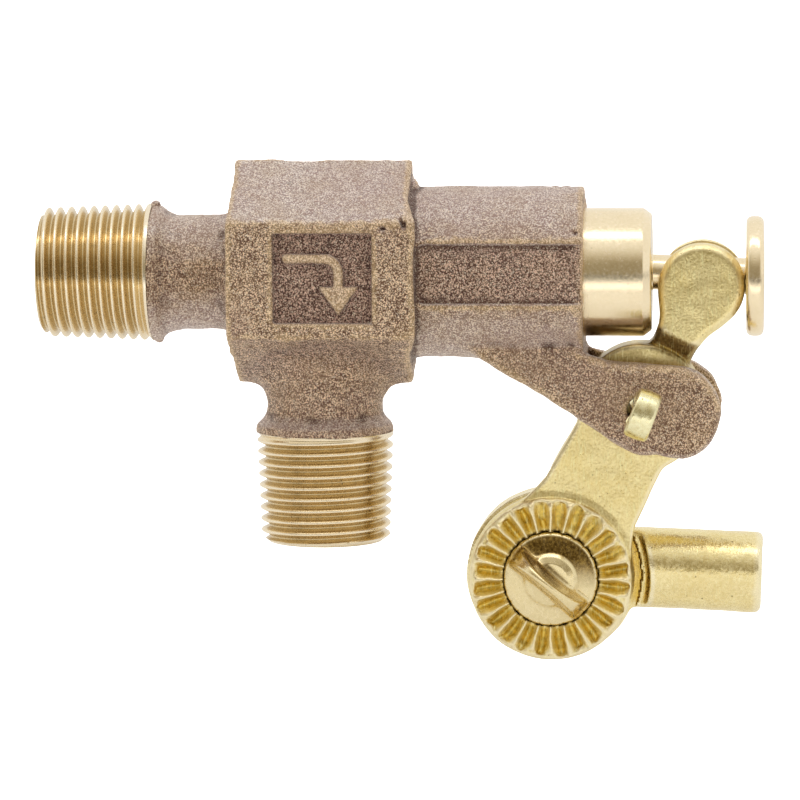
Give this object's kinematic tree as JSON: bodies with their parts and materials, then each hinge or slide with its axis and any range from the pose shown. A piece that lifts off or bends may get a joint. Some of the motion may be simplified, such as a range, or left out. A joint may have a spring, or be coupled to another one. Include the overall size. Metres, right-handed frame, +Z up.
{
  "type": "float valve",
  "caption": "Lever-operated float valve: bronze body with male taper-thread inlet and outlet, sliding brass plunger, forked lever and an adjustable toothed joint for the float rod.",
  "frame": {"origin": "centre of the hexagonal block's rear flat, on the outlet's axis and level with the plunger's axis", "axes": "+X along the inlet and plunger axis towards the lever, +Y out of the block's rear flat, +Z up, away from the outlet"},
  "size_m": [0.0901, 0.0242, 0.0624],
  "materials": {
    "cast_bronze": "rough sand-cast bronze, mauve-tan, with the threads machined bright",
    "turned_brass": "fine turned, pale",
    "cast_brass": "tumbled die-forged brass, satin",
    "pin_brass": "drawn half-round wire, satin",
    "black_rubber": "matt moulded rubber",
    "spring_steel": "plain spring steel"
  },
  "bodies": {
    "root": {"valve_body": "cast_bronze", "pivot_cotter_pin": "pin_brass"},
    "plunger_group": {"plunger": "turned_brass", "seat_disc": "black_rubber", "seat_disc_screw": "turned_brass", "plunger_o_ring": "black_rubber"},
    "lever_arm": {"lever": "cast_brass"},
    "rod_socket": {"rod_holder": "cast_brass", "lock_washer": "spring_steel"},
    "screw": {"thumb_screw": "turned_brass"},
    "nut": {"clamp_nut": "cast_brass"}
  },
  "joints": [
    {"name": "lever_pivot", "type": "hinge", "parent": "root", "child": "lever_arm", "pos_m": [0.0395, -0.01212, -0.0166], "axis": [0, 1, 0], "range_deg": [-12.5, 7]},
    {"name": "plunger_slide", "type": "slide", "parent": "root", "child": "plunger_group", "axis": [1, 0, 0], "range_m": [-0.0034, 0.0019]},
    {"name": "holder_swivel", "type": "hinge", "parent": "lever_arm", "child": "rod_socket", "pos_m": [0.02835, -0.01212, -0.038], "axis": [0, 1, 0], "range_deg": [0, 150]},
    {"name": "thumb_screw_turn", "type": "hinge", "parent": "lever_arm", "child": "screw", "pos_m": [0.02835, -0.01212, -0.038], "axis": [0, 1, 0], "range_deg": [-720, 0]},
    {"name": "nut_travel", "type": "slide", "parent": "rod_socket", "child": "nut", "axis": [0, 1, 0], "range_m": [0, 0.00212]}
  ],
  "couplings": [
    {"joint": "plunger_slide", "follows": "lever_pivot", "m_per_rad": 0.0155},
    {"joint": "thumb_screw_turn", "follows": "nut_travel", "rad_per_m": -5936.8}
  ]
}
